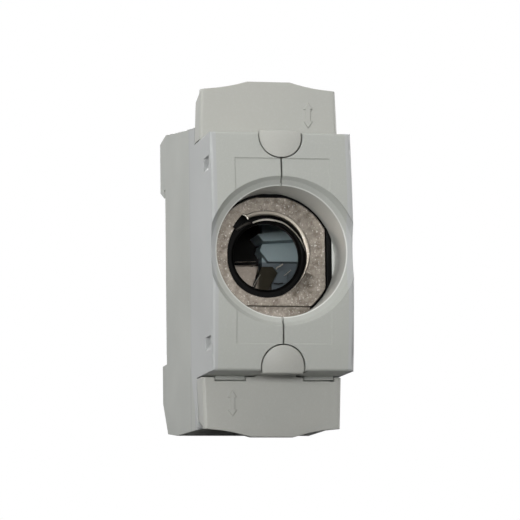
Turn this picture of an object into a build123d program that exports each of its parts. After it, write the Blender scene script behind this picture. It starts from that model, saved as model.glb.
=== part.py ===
from build123d import *
import math
import os

# Single-pole screw fuse base for a 35 mm rail, all sizes in millimetres.
# While it is modelled, Y is the depth behind the middle of the front face, Z is the height
# from the middle of the front block and X runs across the width. save() shifts every piece
# so that Y is 0 on the face that seats on the rail.

# Overall sizes
width = 27.0
block_height = 45.0
rail_seat_depth = 53.3
clearance = 0.3
fine_clearance = 0.1
wall = 1.8
side_wall = 2.2

# How far a cut runs past what it opens, how far joined shapes run into each other, and the
# smallest overlap of two cuts that meet
over = 1.0
lap = 0.5
touch = 0.01

# Front block and its bowed face
front_bow = 1.8
block_edge_radius = 0.5
seam_width = 0.32
seam_depth = 2.6
label_left = -8.9
label_right = 9.2
label_half_height = 17.5
label_depth = 0.12

# Round opening and well
opening_radius = 14.35
cone_start_depth = 0.6
ledge_radius = 13.5
ledge_depth = 1.5
well_radius = 12.4
well_start_depth = 2.0
well_floor_depth = 12.5
well_wall = 1.3

# Sliding covers
cover_depth = 12.8
cover_thickness = 1.5
cover_skirt = 5.5
cover_skirt_wall = 1.3
cover_start = 22.75
cover_corner_z = 32.5
cover_shoulder_x = 10.2
cover_shoulder_z = 32.8
cover_peak_x = 4.15
cover_peak_z = 34.1
cover_taper = 0.35
wave_shoulder_slope = 0.12
wave_peak_slope = 0.3
cover_edge_radius = 0.7
skirt_corner_z = 30.7
cover_travel = 6.5
guide_rib = 0.7
guide_rib_thickness = 1.0
guide_engagement = 1.3
tongue_inner = 3.2
tongue_outer = 4.65
tongue_thickness = 1.6
moon_radius = 4.25
moon_centre_z = 21.75
moon_recess_depth = 4.0
moon_gap = 0.25
moon_overhang = 0.5
moon_edge_radius = 0.4
dome_radius = 18.0
dome_rise = 0.2
tab_width = 6.0
tab_height = 0.8
tab_inner_x = 8.05
tab_outer_x = -9.1
arrow_x = 7.7
arrow_low_z = 25.3
arrow_high_z = 30.2
arrow_head_width = 1.75
arrow_head_length = 1.3
arrow_shaft_width = 0.9
arrow_relief = 0.2

# Deck under each cover
deck_thickness = 1.5
deck_end_z = 31.0

# Body behind the covers, as depths and heights of its side outline
body_front_depth = 18.5
top_front_z = 25.9
foot_thickness = 1.4
top_rear_z = 29.8
hook_depth = 5.9
foot_top_z = 29.0
hook_lip = 1.6
hook_slope = 1.7
rail_height = 35.0
rail_centre_z = 1.06
rail_clearance = 0.25
rail_groove = 1.2
seat_relief = 0.2
seat_margin = 0.3
lower_foot_height = 4.9
lower_foot_z = -24.2
bottom_corner_setback = 1.0
bottom_corner_z = -30.8
bottom_rear_depth = 42.7
bottom_rear_z = -31.8
bottom_front_z = -32.1

# Wedge-shaped relief and blind pockets on each side
relief_front_depth = 26.0
relief_depth = 0.7
relief_knee_z = -18.3
relief_low_depth = 20.3
relief_low_z = -29.0
pocket_front_depth = 3.0
pocket_length = 5.4
pocket_height = 2.6
pocket_top_high = 18.2
pocket_top_low = -15.8
pocket_cut = 1.5

# Thread plate and its strip
plate_thickness = 1.0
plate_radius = 12.05
plate_side = 10.7
plate_top_z = 11.75
plate_bottom_z = -9.2
plate_seat_width = 1.6
side_slot = 1.2
slot_rim = 0.6
thread_x = -0.3
thread_z = 0.6
thread_radius = 7.3
thread_pitch = 2.82
thread_collar_radius = 8.3
collar_lip = 0.4
collar_lap = 0.1
ring_radius = 6.4
ring_thickness = 2.0
ring_height = 20.0
ring_corner = 3.0
ring_lip = 0.5
ring_groove = 0.8
ring_lip_height = 12.4
cavity_setback = 1.4
strip_thickness = 1.2
strip_left = -4.8
strip_right = 7.8
strip_turn_z = -15.5
strip_lap = 2.2
strip_step = 4.0
bend_radius = 1.6

# Box terminals
terminal_z = 26.2
screw_head_radius = 2.9
screw_head_depth = 17.2
screw_head_height = 2.5
screw_radius = 2.0
screw_root_radius = 1.7
screw_neck = 2.2
screw_edge = 0.3
drive_slot = 0.9
drive_depth = 1.2
drive_cross_share = 0.6
contact_tongue_width = 6.2
cage_width = 9.0
cage_height = 6.4
cage_wall = 1.1
cage_nut = 2.0
cage_back = 1.2
cage_corner = 0.6
cage_groove_pitch = 1.6
cage_groove = 0.4
wire_gap = 7.0
cage_travel = 6.0
chamber_wall = 1.4
wire_entry_width = 6.8
wire_entry_radius = 1.2

# Inner carrier and bottom contact
contact_setback = 14.3
contact_top_z = 1.6
contact_low_z = -8.5
contact_left = -7.5
contact_right = 4.4
contact_shoulder_x = 6.6
contact_shoulder_z = 0.4
contact_waist_z = -3.6
contact_corner = 1.0
contact_lap = 3.6
contact_slit = 0.6
slit_x = 1.9
slit_z = -2.2
slit_length = 9.0
slit_lean = 17
riser_top_z = 17.6
backing_thickness = 0.5
backing_inset = 0.4
backing_reach = 1.2
carrier_depth = 5.0
carrier_low_z = -13.0
carrier_high_z = 11.0
carrier_setback = 1.5
carrier_step = 1.0
arm_outline = [(3.3, 4.9), (3.7, 6.1), (8.2, 6.1), (8.4, 5.9), (12.0, 5.9), (12.0, 2.7), (5.1, 2.7)]
shelf_outline = [(2.4, 7.9), (9.0, 8.8), (12.0, 8.8), (12.0, 7.0), (3.5, 6.5)]
post_outline = [(5.9, -1.5), (5.9, 0.2), (6.6, 0.9), (8.4, 0.9), (8.9, 0.2), (8.9, -1.5)]
foot_outline = [(4.9, -2.4), (12.0, -2.4), (12.0, -6.0), (4.9, -6.0)]
screen_thickness = 0.8
rivet_radius = 1.0
rivet_head_radius = 1.7
rivet_head = 0.6
rivet_left_inset = 2.0
rivet_left_rise = 2.0
rivet_right_inset = 1.4
rivet_right_rise = 1.8

# Rail latch and its spring
latch_half_width = 4.2
latch_flange = 1.8
latch_flange_thickness = 1.4
latch_gap = 0.2
latch_reach = 1.7
latch_end_z = -30.2
latch_travel = 3.5
latch_corner = 1.2
latch_lead = 1.6
latch_nose_slope = 1.8
latch_flange_low = 3.0
latch_flange_drop = 0.6
pull_slot_width = 5.0
pull_slot_low = 1.5
pull_slot_height = 1.4
spring_strip = 0.3
spring_width = 3.0
spring_room_depth = 2.4
spring_solid_height = 3.0
spring_catch_drop = 1.5
spring_fold_radius = 0.25
spring_folds = 4
spring_end_gap = 0.4

# Locating pegs between the half shells
peg_radius = 1.2
peg_length = 3.0
peg_clearance = 0.1
peg_inset = 2.1
peg_shift = 1.0

half_width = width / 2
half_block = block_height / 2
rail_top = rail_centre_z + rail_height / 2 + rail_clearance
rail_bottom = rail_centre_z - rail_height / 2 - rail_clearance
hook_lip_z = rail_top - hook_lip
hook_rear_z = hook_lip_z + hook_slope
foot_front_depth = rail_seat_depth - foot_thickness
rear_depth = rail_seat_depth + hook_depth
lower_foot_depth = rail_seat_depth + lower_foot_height
bottom_corner_depth = rail_seat_depth - bottom_corner_setback
bow_radius = (half_block**2 + front_bow**2) / (2 * front_bow)
cover_back = cover_depth + cover_thickness
cover_end_depth = cover_depth + cover_skirt
deck_depth = cover_back + clearance
skirt_inner = half_width - cover_taper - cover_skirt_wall
deck_half_width = skirt_inner - clearance
neck_half_width = deck_half_width - guide_rib
cavity_half_width = half_width - side_wall
plate_depth = well_floor_depth + fine_clearance
plate_back = plate_depth + plate_thickness
screw_end_depth = screw_head_depth + screw_head_height + fine_clearance / 2
tongue_depth = screw_head_depth + screw_head_height + chamber_wall + cage_travel + cage_nut + 3 * clearance
cage_front = tongue_depth - clearance - cage_nut
cage_inside = tongue_depth + strip_thickness
cage_rear = cage_inside + wire_gap
cage_end = cage_rear + cage_back
chamber_half_width = cage_width / 2 + clearance
chamber_low_z = terminal_z - cage_height / 2 - clearance
chamber_high_z = terminal_z + cage_height / 2 + clearance
chamber_front = cage_front - cage_travel - 2 * clearance
chamber_end = cage_end + clearance
cavity_front = plate_back + cavity_setback
ring_depth = cavity_front
ring_half_width = cavity_half_width + ring_groove - fine_clearance
ring_lip_depth = well_floor_depth + slot_rim + fine_clearance
cavity_half_height = chamber_low_z - wall
cavity_end = rail_seat_depth - wall
contact_depth = rail_seat_depth - contact_setback
carrier_front = contact_depth + strip_thickness + backing_thickness
riser_depth = carrier_front + carrier_depth + screen_thickness + fine_clearance
rivet_places = [
    (contact_left + rivet_left_inset, contact_low_z + rivet_left_rise),
    (contact_right - rivet_right_inset, contact_low_z + rivet_right_rise),
]
latch_depth = rail_seat_depth + rail_groove + latch_gap
latch_back = lower_foot_depth - latch_gap
latch_nose_z = rail_bottom + latch_reach
spring_high_z = rail_bottom - wall
spring_catch_z = spring_high_z - spring_catch_drop
spring_low_z = spring_catch_z - latch_travel - spring_solid_height


def block_box(x0, x1, y0, y1, z0, z1):
    """A box between two corners."""
    middle = Pos((x0 + x1) / 2, (y0 + y1) / 2, (z0 + z1) / 2)
    return middle * Box(abs(x1 - x0), abs(y1 - y0), abs(z1 - z0))


def side_prism(points, x0, x1):
    """An outline of (depth, height) points, extruded across the width."""
    face = make_face(Plane.YZ * Polyline(*points, close=True))
    return Pos(x0, 0, 0) * extrude(face, amount=x1 - x0, dir=(1, 0, 0))


def front_prism(curve, y0, y1):
    """A closed outline drawn as seen from the front, extruded backwards."""
    face = make_face(Plane.XZ * curve)
    return Pos(0, y0, 0) * extrude(face, amount=y1 - y0, dir=(0, 1, 0))


def rod_y(radius, y0, y1, x=0.0, z=0.0):
    """A round rod along the depth."""
    return Pos(x, (y0 + y1) / 2, z) * Rot(90, 0, 0) * Cylinder(radius, y1 - y0)


def turned(points):
    """A solid of (radius, depth) points turned about the depth axis."""
    face = make_face(Polyline(*points, close=True))
    return revolve(face, axis=Axis.Y)


def upside_down(shape):
    """The same piece turned half a turn about the depth axis."""
    return Rot(0, 180, 0) * shape


def bent_strip(points, thickness, x0, x1):
    """Sheet metal bent along a path of (depth, height) points, of one width."""
    face = Plane.YZ * trace(FilletPolyline(*points, radius=bend_radius), thickness)
    return Pos(x0, 0, 0) * extrude(face, amount=x1 - x0, dir=(1, 0, 0))


def bowed_slab(front_shift, back, x0, x1, half_height):
    """A slab whose front follows the bow of the block, moved back by front_shift."""
    edge_depth = bow_radius - math.sqrt(bow_radius**2 - half_height**2)
    front = ThreePointArc(
        (edge_depth + front_shift, -half_height), (front_shift, 0), (edge_depth + front_shift, half_height)
    )
    rest = Polyline(
        (edge_depth + front_shift, half_height), (back, half_height),
        (back, -half_height), (edge_depth + front_shift, -half_height),
    )
    face = make_face(Plane.YZ * (front + rest))
    return Pos(x0, 0, 0) * extrude(face, amount=x1 - x0, dir=(1, 0, 0))


def save(name, shape):
    """Writes one piece with the rail seat at Y = 0."""
    export_step(Pos(0, -rail_seat_depth, 0) * shape, os.path.join("parts", name + ".step"))


def front_block():
    """The block that fills the cut-out of a distribution board's cover."""
    block = bowed_slab(0, body_front_depth + wall, -half_width, half_width, half_block)
    front_edges = [e for e in block.edges() if e.center().Y < front_bow + touch]
    block = fillet(front_edges, block_edge_radius)
    label = bowed_slab(label_depth, body_front_depth, label_left, label_right, label_half_height)
    field = block_box(
        label_left, label_right, -over, front_bow + label_depth, -label_half_height, label_half_height
    )
    return block - (field - label)


def body_block():
    """The body behind the covers, with the rail recess, hook and lower foot."""
    outline = [
        (body_front_depth, top_front_z),
        (foot_front_depth, top_rear_z),
        (rear_depth, foot_top_z),
        (rear_depth, hook_rear_z),
        (rail_seat_depth + rail_groove, hook_lip_z),
        (rail_seat_depth + rail_groove, rail_top),
        (rail_seat_depth - seat_relief, rail_top),
        (rail_seat_depth - seat_relief, hook_lip_z - seat_margin),
        (rail_seat_depth, hook_lip_z - seat_margin),
        (rail_seat_depth, latch_nose_z + seat_margin),
        (rail_seat_depth - seat_relief, latch_nose_z + seat_margin),
        (rail_seat_depth - seat_relief, rail_bottom),
        (lower_foot_depth, rail_bottom),
        (lower_foot_depth, lower_foot_z),
        (bottom_corner_depth, bottom_corner_z),
        (bottom_rear_depth, bottom_rear_z),
        (body_front_depth, bottom_front_z),
    ]
    return side_prism(outline, -half_width, half_width)


def side_reliefs():
    """The shallow wedge on each side, deepest behind the front section, and the blind pockets."""
    tall = block_height
    slope = relief_depth / (foot_front_depth - relief_front_depth)
    deepest = slope * (foot_front_depth - body_front_depth)
    wedge_plan = [
        (-half_width - over, foot_front_depth),
        (-half_width, foot_front_depth),
        (-half_width + deepest, body_front_depth),
        (-half_width - over, body_front_depth),
    ]
    wedge = Pos(0, 0, -tall) * extrude(make_face(Polyline(*wedge_plan, close=True)), amount=2 * tall)
    area = [
        (relief_front_depth, tall),
        (relief_front_depth, relief_knee_z),
        (relief_low_depth, relief_low_z),
        (body_front_depth, bottom_front_z),
        (body_front_depth, -tall),
        (foot_front_depth, -tall),
        (foot_front_depth, tall),
    ]
    cut = wedge & side_prism(area, -half_width - over, 0)
    for high in (pocket_top_high, pocket_top_low):
        section = [
            (-half_width - over, high),
            (-half_width + pocket_cut, high),
            (-half_width, high - pocket_height),
            (-half_width - over, high - pocket_height),
        ]
        face = make_face(Plane.XZ * Polyline(*section, close=True))
        cut += Pos(0, pocket_front_depth, 0) * extrude(face, amount=pocket_length, dir=(0, 1, 0))
    return cut + mirror(cut, about=Plane.YZ)


def well_cut():
    """The round opening: a cone, a narrow ledge and the straight well down to its floor."""
    return turned([
        (0, -over),
        (opening_radius, -over),
        (opening_radius, cone_start_depth),
        (ledge_radius, ledge_depth),
        (well_radius, well_start_depth),
        (well_radius, well_floor_depth),
        (0, well_floor_depth),
    ])


def plate_outline(grow, half_side):
    """The thread plate from the front: a round disc cut straight on all four sides."""
    disc = Circle(plate_radius + grow)
    window_height = plate_top_z - plate_bottom_z + 2 * grow
    window = Pos(0, (plate_top_z + plate_bottom_z) / 2) * Rectangle(2 * half_side, window_height)
    return disc & window


def plate_seat():
    """The recess in the well's floor for the plate, its open middle and the way down for its strip."""
    seat_outline = plate_outline(2 * clearance, plate_side + side_slot)
    seat = front_prism(seat_outline, well_floor_depth - touch, plate_back)
    strip_way = block_box(
        strip_left - clearance, strip_right + clearance,
        well_floor_depth - touch, cavity_front + touch,
        strip_turn_z - bend_radius, plate_bottom_z + strip_lap + clearance,
    )
    middle = plate_outline(-plate_seat_width, plate_side - plate_seat_width)
    through = front_prism(middle, well_floor_depth, cavity_front + touch)
    return seat + strip_way + through


def ring_room():
    """The grooves in both side walls for the insulating ring, and the room for its lips."""
    outer = cavity_half_width + ring_groove
    half_height = ring_height / 2 + fine_clearance
    groove = block_box(
        0, outer, cavity_front, cavity_front + ring_thickness + fine_clearance,
        thread_z - half_height, thread_z + half_height,
    )
    lip_half = ring_lip_height / 2 + fine_clearance
    lip_room = block_box(
        plate_side + fine_clearance, outer, well_floor_depth + slot_rim, cavity_front + touch,
        -lip_half, lip_half,
    )
    room = groove + lip_room
    return room + mirror(room, about=Plane.YZ)


def moon_outline(radius, end_z):
    """A half-moon from the front: a disc cut straight at the block's end."""
    disc = Pos(0, moon_centre_z) * Circle(radius)
    return disc & (Pos(0, end_z / 2) * Rectangle(4 * radius, end_z))


def end_recess():
    """The recess for one cover's half-moon and tongue, and the driver's way to the screw."""
    moon = front_prism(moon_outline(moon_radius, half_block + over), -over, moon_recess_depth)
    groove_low = half_block - tongue_thickness - clearance
    groove = block_box(
        -tongue_outer - clearance, tongue_inner + clearance, moon_recess_depth - 4 * clearance, deck_depth,
        groove_low, half_block + over,
    )
    driver = rod_y(screw_head_radius + 2 * fine_clearance, deck_depth - over, screw_end_depth, 0, terminal_z)
    shank_hole = screw_radius + 2 * fine_clearance
    shank = rod_y(shank_hole, screw_end_depth - over, chamber_front + over, 0, terminal_z)
    return moon + groove + driver + shank


def end_chamber():
    """The room of one box terminal, with the wire's way in and the contact's way through."""
    room = block_box(
        -chamber_half_width, chamber_half_width, chamber_front, chamber_end, chamber_low_z, chamber_high_z
    )
    entry_half = wire_entry_width / 2
    entry_plan = Pos(0, (cage_inside + cage_rear) / 2) * RectangleRounded(
        2 * entry_half, wire_gap - 2 * clearance, wire_entry_radius
    )
    entry = Pos(0, 0, terminal_z) * extrude(entry_plan, amount=terminal_z)
    way_half = contact_tongue_width / 2 + fine_clearance
    way = block_box(
        -way_half, way_half, tongue_depth - fine_clearance, cage_inside + fine_clearance,
        cavity_half_height - over, terminal_z,
    )
    return room + entry + way


def end_deck():
    """The ledge that one cover slides on, with the narrower neck that its ribs run behind."""
    deck = block_box(
        -deck_half_width, deck_half_width, deck_depth, deck_depth + deck_thickness,
        half_block - over, deck_end_z,
    )
    neck = block_box(
        -neck_half_width, neck_half_width, deck_depth, body_front_depth + lap, half_block - over, deck_end_z
    )
    tower_half = chamber_half_width + chamber_wall
    tower = block_box(
        -tower_half, tower_half, deck_depth, chamber_end + chamber_wall, half_block - over, deck_end_z
    )
    return deck + neck + tower


def end_tabs():
    """The two small stops that stand in the cover's notches."""
    tabs = []
    for x in (tab_inner_x, tab_outer_x):
        half = tab_width / 2 - clearance / 2
        tabs.append(block_box(
            x - half, x + half, cover_depth + clearance, deck_depth + lap,
            half_block - lap, cover_start + tab_height - clearance,
        ))
    return tabs[0] + tabs[1]


def corner_pockets():
    """The hollow moulded behind each corner of the front face, outside the well's wall."""
    shape = block_box(
        tongue_outer + wall, cavity_half_width, 2 * wall, cavity_front + over, 0, cavity_half_height
    )
    shape -= rod_y(well_radius + well_wall, -over, cavity_front + 2 * over)
    shape += mirror(shape, about=Plane.YZ)
    return shape + mirror(shape, about=Plane.XY)


def side_pockets():
    """The hollows moulded beside each terminal chamber."""
    inner = chamber_half_width + chamber_wall
    shape = block_box(
        inner, cavity_half_width, body_front_depth + wall, foot_front_depth - wall,
        chamber_low_z, top_front_z - wall,
    )
    lower = block_box(
        inner, cavity_half_width, body_front_depth + wall, bottom_rear_depth,
        bottom_rear_z + wall, -chamber_low_z,
    )
    shape += lower
    return shape + mirror(shape, about=Plane.YZ)


def latch_channel():
    """The T-shaped way for the rail latch, open behind and below."""
    flange_half = latch_half_width + latch_flange + latch_gap
    flange = block_box(
        -flange_half, flange_half, latch_depth - latch_gap, latch_depth + latch_flange_thickness + latch_gap,
        -block_height, rail_bottom + over,
    )
    neck_half = latch_half_width + latch_gap
    neck = block_box(
        -neck_half, neck_half, latch_depth, rear_depth + hook_depth, -block_height, rail_bottom + over
    )
    spring_half = spring_width / 2 + clearance
    spring_room = block_box(
        -spring_half, spring_half, latch_depth - spring_room_depth, latch_depth, spring_low_z, spring_high_z
    )
    return flange + neck + spring_room


def seam():
    """The fine open line where the half shells meet on the front face."""
    half = seam_width / 2
    line = block_box(-half, half, -over, seam_depth, well_radius - over, moon_centre_z)
    return line + mirror(line, about=Plane.XY)


def pegs(radius, x1):
    """The round pegs that line the half shells up, from the parting plane to x1."""
    front_depth = (well_start_depth + well_floor_depth) / 2 + peg_shift
    places = [
        (front_depth, label_half_height - peg_inset),
        (front_depth, peg_inset - label_half_height),
        (foot_front_depth - wall, (rail_top + top_rear_z) / 2),
        (chamber_end + 4 * peg_radius, (bottom_rear_z - chamber_low_z) / 2),
    ]
    shape = None
    for depth, z in places:
        peg = Pos((x1 - over) / 2, depth, z) * Rot(0, 90, 0) * Cylinder(radius, x1 + over)
        shape = peg if shape is None else shape + peg
    return shape


def housing():
    """The whole housing before it is parted into its two half shells."""
    shape = front_block() + body_block() + end_deck() + mirror(end_deck(), about=Plane.XY)
    upper_tabs = end_tabs()
    shape = shape + upper_tabs + upside_down(upper_tabs)
    cavity = block_box(
        -cavity_half_width, cavity_half_width, cavity_front, cavity_end,
        -cavity_half_height, cavity_half_height,
    )
    cuts = [
        well_cut(),
        plate_seat(),
        cavity,
        corner_pockets(),
        side_pockets(),
        side_reliefs(),
        latch_channel(),
        seam(),
        ring_room(),
        end_recess(),
        upside_down(end_recess()),
        end_chamber(),
        mirror(end_chamber(), about=Plane.XY),
    ]
    for cut in cuts:
        shape -= cut
    return shape


def cover_plan():
    """The cover's outline from the front, with the wave of its outer edge."""
    inner = half_width
    outer = half_width - cover_taper
    left_wave = Spline(
        (-cover_shoulder_x, cover_shoulder_z), (-cover_peak_x, cover_peak_z),
        tangents=((1, wave_shoulder_slope), (1, wave_peak_slope)),
    )
    right_wave = Spline(
        (cover_peak_x, cover_peak_z), (cover_shoulder_x, cover_shoulder_z),
        tangents=((1, -wave_peak_slope), (1, -wave_shoulder_slope)),
    )
    outline = Polyline(
        (-inner, cover_start), (-outer, cover_corner_z), (-cover_shoulder_x, cover_shoulder_z)
    )
    outline += left_wave
    outline += Line((-cover_peak_x, cover_peak_z), (cover_peak_x, cover_peak_z))
    outline += right_wave
    outline += Polyline(
        (cover_shoulder_x, cover_shoulder_z), (outer, cover_corner_z),
        (inner, cover_start), (-inner, cover_start),
    )
    return outline


def arrow_relief_shape():
    """The raised double arrow that shows which way the cover slides."""
    middle = (arrow_low_z + arrow_high_z) / 2
    half_length = (arrow_high_z - arrow_low_z) / 2
    half_head = arrow_head_width / 2
    half_shaft = arrow_shaft_width / 2
    quarter = [
        (0, half_length),
        (half_head, half_length - arrow_head_length),
        (half_shaft, half_length - arrow_head_length),
    ]
    right = quarter + [(x, -z) for x, z in reversed(quarter)]
    left = [(-x, -z) for x, z in right[1:-1]]
    outline = Pos(arrow_x, middle) * Polyline(*(right + left), close=True)
    return front_prism(outline, cover_depth - arrow_relief, cover_depth + fine_clearance)


def moon_pad():
    """The half-moon grip: a low dome that follows the block's bow, rounded over at its straight end."""
    end = half_block + moon_overhang
    pad = front_prism(moon_outline(moon_radius - moon_gap, end), 0, moon_recess_depth - clearance)
    dome_z = (moon_centre_z - moon_radius + end) / 2
    tilt = math.asin(dome_z / bow_radius)
    reach = dome_radius - dome_rise
    bow_depth = bow_radius - math.sqrt(bow_radius**2 - dome_z**2)
    pad &= Pos(0, bow_depth + reach * math.cos(tilt), dome_z - reach * math.sin(tilt)) * Sphere(dome_radius)
    end_edge = [e for e in pad.edges().sort_by(Axis.Y) if e.center().Z > end - touch][:1]
    return fillet(end_edge, moon_edge_radius)


def upper_cover_shape():
    """A sliding terminal cover: plate, two skirts with guide ribs, tongue and half-moon grip."""
    plan = cover_plan()
    plate = front_prism(plan, cover_depth, cover_back)
    skirt_side = [
        (cover_depth, cover_start),
        (cover_depth, cover_corner_z),
        (cover_end_depth, skirt_corner_z),
        (cover_end_depth, cover_start),
    ]
    skirt = side_prism(skirt_side, half_width - cover_taper - cover_skirt_wall, half_width)
    inner_plan = front_prism(plan, cover_depth, cover_end_depth)
    skirts = (skirt + mirror(skirt, about=Plane.YZ)) & inner_plan
    shape = plate + skirts
    front_sides = [
        e for e in shape.edges()
        if abs(e.center().Y - cover_depth) < touch and abs(e.center().X) > half_width - cover_skirt_wall
    ]
    shape = fillet(front_sides, cover_edge_radius)
    rib_low = deck_end_z - cover_travel - guide_engagement
    rib_front = deck_depth + deck_thickness + clearance
    rib = block_box(
        neck_half_width + clearance, skirt_inner + clearance, rib_front, rib_front + guide_rib_thickness,
        rib_low, skirt_corner_z - guide_rib_thickness,
    )
    shape += rib + mirror(rib, about=Plane.YZ)
    for x in (tab_inner_x, tab_outer_x):
        half = tab_width / 2
        shape -= block_box(
            x - half, x + half, cover_depth - over, cover_back + over,
            cover_start - over, cover_start + tab_height,
        )
    tongue_low = half_block - tongue_thickness
    tongue = block_box(
        -tongue_outer, tongue_inner, moon_recess_depth - 3 * clearance, cover_back,
        tongue_low, half_block - fine_clearance,
    )
    heel = block_box(-tongue_outer, tongue_inner, cover_depth, cover_back, tongue_low, cover_start + over)
    return shape + tongue + heel + moon_pad() + arrow_relief_shape()


def thread_plate():
    """The nickel-plated plate with its drawn collar, one turn of the socket's thread."""
    plate = front_prism(plate_outline(0, plate_side), plate_depth, plate_back)
    plate -= rod_y(thread_collar_radius, plate_depth - over, plate_back + over, thread_x, thread_z)
    half_pitch = thread_pitch / 2
    middle = (plate_depth + plate_back) / 2
    collar = turned([
        (thread_radius, middle - half_pitch),
        (thread_radius + collar_lip, middle - half_pitch),
        (thread_collar_radius + collar_lap, plate_depth),
        (thread_collar_radius + collar_lap, plate_back),
        (thread_radius + collar_lip, middle + half_pitch),
        (thread_radius, middle + half_pitch),
    ])
    return plate + Pos(thread_x, 0, thread_z) * collar


def insulating_ring():
    """The black insulating plate behind the thread, with a lip beside the plate's straight sides."""
    outline = Pos(0, thread_z) * RectangleRounded(2 * ring_half_width, ring_height, ring_corner)
    shape = front_prism(outline, ring_depth, ring_depth + ring_thickness)
    shape -= rod_y(ring_radius, ring_depth - over, ring_depth + ring_thickness + over, thread_x, thread_z)
    circles = shape.edges().filter_by(GeomType.CIRCLE)
    mouth = [e for e in circles if abs(e.radius - ring_radius) < touch]
    shape = chamfer(mouth, ring_lip)
    lip = block_box(
        plate_side + clearance, ring_half_width, ring_lip_depth, ring_depth + fine_clearance,
        -ring_lip_height / 2, ring_lip_height / 2,
    )
    return shape + lip + mirror(lip, about=Plane.YZ)


def plate_strip():
    """The strip welded behind the thread plate that leads to the lower terminal."""
    front = plate_back + strip_thickness / 2
    rear = tongue_depth + strip_thickness / 2
    wide = bent_strip(
        [(front, plate_bottom_z + strip_lap), (front, strip_turn_z), (front + strip_step, strip_turn_z)],
        strip_thickness, strip_left, strip_right,
    )
    wide -= rod_y(thread_collar_radius + clearance, plate_depth, cavity_front + 2 * over, thread_x, thread_z)
    narrow_half = contact_tongue_width / 2
    narrow = bent_strip(
        [(front + strip_step - over, strip_turn_z), (rear, strip_turn_z),
         (rear, -terminal_z - cage_height / 2)],
        strip_thickness, -narrow_half, narrow_half,
    )
    return wide + narrow


def bottom_contact():
    """The contact under the fuse's foot, slit into two tongues, and its riser to the upper terminal."""
    front = contact_depth + strip_thickness / 2
    riser = riser_depth + strip_thickness / 2
    rear = tongue_depth + strip_thickness / 2
    half = contact_tongue_width / 2
    outline = [
        (contact_left, contact_low_z),
        (contact_left, contact_top_z),
        (contact_shoulder_x - contact_corner, contact_top_z),
        (contact_shoulder_x, contact_shoulder_z),
        (contact_right, contact_waist_z),
        (contact_right, contact_low_z),
    ]
    blade = front_prism(Polyline(*outline, close=True), contact_depth, contact_depth + strip_thickness)
    slit_plan = Pos(slit_x, slit_z) * Rot(0, 0, -slit_lean) * Rectangle(contact_slit, slit_length)
    blade -= front_prism(slit_plan, contact_depth - over, contact_depth + strip_thickness + over)
    top = contact_top_z - strip_thickness / 2
    foot = bent_strip(
        [(front, contact_top_z - contact_lap), (front, top), (riser, top),
         (riser, riser_top_z), (rear, riser_top_z), (rear, terminal_z + cage_height / 2)],
        strip_thickness, -half, half,
    )
    foot -= front_prism(slit_plan, contact_depth - over, contact_depth + strip_thickness + over)
    shape = blade + foot
    for x, z in rivet_places:
        shape -= rod_y(rivet_radius + fine_clearance / 2, contact_depth - over, carrier_front + over, x, z)
    return shape


def contact_backing():
    """The spring-steel leaf behind the bottom contact."""
    front = contact_depth + strip_thickness
    shape = block_box(
        contact_left + backing_inset, contact_right + backing_reach, front, front + backing_thickness,
        contact_low_z + backing_inset, contact_top_z - 2 * strip_thickness,
    )
    for x, z in rivet_places:
        shape -= rod_y(rivet_radius + fine_clearance / 2, front - over, front + over, x, z)
    return shape


def contact_rivets():
    """The rivets that hold the bottom contact and its leaf on the carrier."""
    shapes = []
    for x, z in rivet_places:
        rivet = rod_y(rivet_radius, contact_depth - rivet_head / 2, carrier_front + carrier_depth, x, z)
        rivet += rod_y(rivet_head_radius, contact_depth - rivet_head, contact_depth, x, z)
        shapes.append(rivet)
    return Compound(children=shapes)


def inner_carrier():
    """The blue-grey insulating carrier between the shells, with its stepped arms on the right."""
    half = cavity_half_width
    back = carrier_front + carrier_depth
    base_top = contact_top_z - strip_thickness - carrier_step
    shape = block_box(-half, half, carrier_front, back, carrier_low_z, base_top)
    web_x = contact_tongue_width / 2 + carrier_step
    shape += block_box(web_x, half, carrier_front + carrier_setback, back, carrier_low_z, carrier_high_z)
    window = block_box(-half, half, contact_depth - carrier_setback, back, carrier_low_z, carrier_high_z)
    arms = [
        (arm_outline, contact_depth + strip_thickness),
        (shelf_outline, contact_depth - carrier_setback),
        (post_outline, contact_depth + strip_thickness + fine_clearance),
        (foot_outline, contact_depth + strip_thickness + fine_clearance),
    ]
    for outline, front in arms:
        shape += front_prism(Polyline(*outline, close=True), front, back) & window
    backing_right = contact_right + backing_reach + clearance
    shape -= block_box(
        -half, backing_right, carrier_front - strip_thickness - backing_thickness, carrier_front,
        carrier_low_z, contact_top_z - strip_thickness,
    )
    for x, z in rivet_places:
        shape -= rod_y(rivet_radius + fine_clearance / 2, contact_depth - over, back + over, x, z)
    return shape


def rear_screen():
    """The black insulating sheet behind the carrier, in front of the contact's riser."""
    back = carrier_front + carrier_depth
    half = cavity_half_width
    low = contact_top_z - strip_thickness / 2 + bend_radius + fine_clearance
    high = riser_top_z - bend_radius - fine_clearance
    return block_box(-half, half, back, back + screen_thickness, low, high)


def clamp_cage():
    """A box clamp: a closed loop of steel, threaded in its front wall and grooved at the back."""
    half = cage_width / 2
    low = terminal_z - cage_height / 2
    high = terminal_z + cage_height / 2
    loop = block_box(-half, half, cage_front, cage_end, low, high)
    loop = chamfer(loop.edges().filter_by(Axis.Z), cage_corner)
    inside = half - cage_wall
    loop -= block_box(-inside, inside, cage_front + cage_nut, cage_rear, low - over, high + over)
    groove = Rot(45, 0, 0) * Box(cage_width, cage_groove, cage_groove)
    for step in (-1, 0, 1):
        loop -= Pos(0, cage_rear, terminal_z + step * cage_groove_pitch) * groove
    nut_end = cage_front + cage_nut
    loop -= rod_y(screw_radius + fine_clearance, cage_front - over, nut_end + over, 0, terminal_z)
    return loop


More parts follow.
